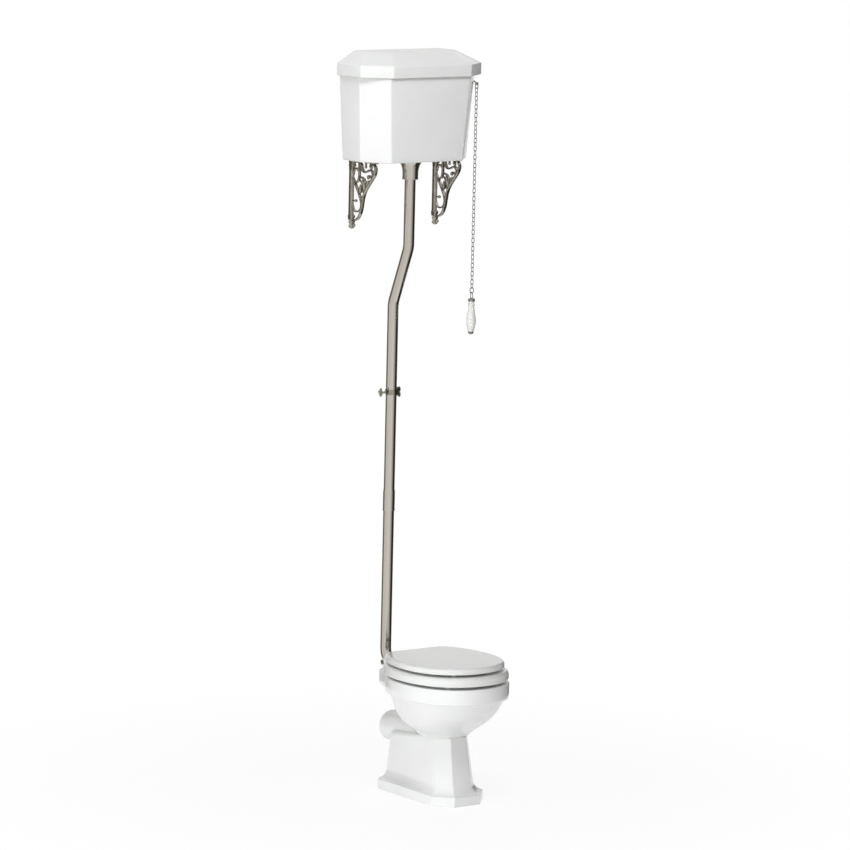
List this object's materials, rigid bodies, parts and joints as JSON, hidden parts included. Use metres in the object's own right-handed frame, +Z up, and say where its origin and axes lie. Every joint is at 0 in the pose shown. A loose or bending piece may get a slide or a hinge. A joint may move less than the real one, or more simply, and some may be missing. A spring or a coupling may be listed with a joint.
{
  "type": "high level toilet",
  "caption": "Pan with hinged seat and lid on the floor, a lidded cistern on scrolled wall brackets high above it, a flush pipe between them and a chain pull.",
  "frame": {"origin": "on the floor under the middle of the rear strip of the pan's foot, on the centre line; the wall plane is at Y = +0.140", "axes": "+Z up, +X to the right as seen from the front, +Y to the wall behind the pan"},
  "size_m": [0.5365, 0.6195, 2.538],
  "materials": {
    "white_glaze": "glossy white glaze on vitreous china",
    "polished_nickel": "polished warm nickel plate",
    "cast_brass": "plain turned and cast brass",
    "white_lacquer": "gloss white lacquer on wood",
    "black_rubber": "matt black moulded rubber",
    "pale_buffer": "pale soft buffer",
    "valve_plastic": "off-white moulded plastic"
  },
  "bodies": {
    "fixture": {"pan": "white_glaze", "cistern_tank": "white_glaze", "floor_screw_1": "polished_nickel", "floor_screw_2": "polished_nickel", "floor_screw_3": "polished_nickel", "floor_screw_4": "polished_nickel", "hinge_bar": "polished_nickel", "hinge_post_left": "polished_nickel", "hinge_post_right": "polished_nickel", "flush_pipe_upper": "polished_nickel", "flush_pipe_lower": "polished_nickel", "pipe_shroud": "polished_nickel", "pipe_clip": "polished_nickel", "clip_knob": "polished_nickel", "clip_rose": "polished_nickel", "bracket_left": "polished_nickel", "bracket_right": "polished_nickel", "bracket_screw_left_1": "polished_nickel", "bracket_screw_left_2": "polished_nickel", "bracket_screw_right_1": "polished_nickel", "bracket_screw_right_2": "polished_nickel", "tank_screw_left": "cast_brass", "tank_screw_right": "cast_brass", "coupling_nut": "cast_brass", "siphon_back_nut": "cast_brass", "lever_fulcrum": "cast_brass", "lever_pin": "cast_brass", "float_valve": "cast_brass", "inlet_nut": "cast_brass", "float_pin": "cast_brass", "flush_cone": "black_rubber", "wing_nut_left": "valve_plastic", "wing_nut_right": "valve_plastic", "siphon": "valve_plastic"},
    "seat": {"seat_ring": "white_lacquer", "seat_buffer_1": "pale_buffer", "seat_buffer_2": "pale_buffer", "seat_buffer_3": "pale_buffer", "seat_buffer_4": "pale_buffer"},
    "lid": {"seat_lid": "white_lacquer", "lid_buffer_1": "pale_buffer", "lid_buffer_2": "pale_buffer"},
    "cover": {"cistern_cover": "white_glaze"},
    "lever": {"flush_lever": "polished_nickel"},
    "hook": {"chain_hook": "polished_nickel"},
    "pull": {"pull_chain": "polished_nickel", "handle_ring": "polished_nickel", "handle_cap": "polished_nickel", "pull_handle": "white_glaze", "handle_finial": "polished_nickel"},
    "lift": {"lift_rod": "cast_brass"},
    "float": {"float_arm": "cast_brass", "float_ball": "valve_plastic"}
  },
  "joints": [
    {"name": "seat_hinge", "type": "hinge", "parent": "fixture", "child": "seat", "pos_m": [0, -0.015, 0.444], "axis": [1, 0, 0], "range_deg": [-97, 0]},
    {"name": "lid_hinge", "type": "hinge", "parent": "seat", "child": "lid", "pos_m": [0, -0.015, 0.444], "axis": [-1, 0, 0], "range_deg": [0, 97]},
    {"name": "cover_lift", "type": "slide", "parent": "fixture", "child": "cover", "axis": [0, 0, 1], "range_m": [0, 0.15]},
    {"name": "lever_pivot", "type": "hinge", "parent": "fixture", "child": "lever", "pos_m": [0.205, 0.033, 2.436], "axis": [0, 1, 0], "range_deg": [0, 15]},
    {"name": "hook_pivot", "type": "hinge", "parent": "lever", "child": "hook", "pos_m": [0.2695, 0.033, 2.42], "axis": [0, 1, 0], "range_deg": [-15, 0]},
    {"name": "chain_swing", "type": "hinge", "parent": "hook", "child": "pull", "pos_m": [0.2695, 0.033, 2.4112], "axis": [1, 0, 0], "range_deg": [-25, 6]},
    {"name": "siphon_lift", "type": "slide", "parent": "fixture", "child": "lift", "axis": [0, 0, 1], "range_m": [0, 0.0717]},
    {"name": "float_hinge", "type": "hinge", "parent": "fixture", "child": "float", "pos_m": [0.18672, 0.078, 2.375], "axis": [0, 1, 0], "range_deg": [0, 40]}
  ],
  "couplings": [
    {"joint": "hook_pivot", "follows": "lever_pivot", "ratio": -1},
    {"joint": "siphon_lift", "follows": "lever_pivot", "m_per_rad": 0.27327}
  ]
}
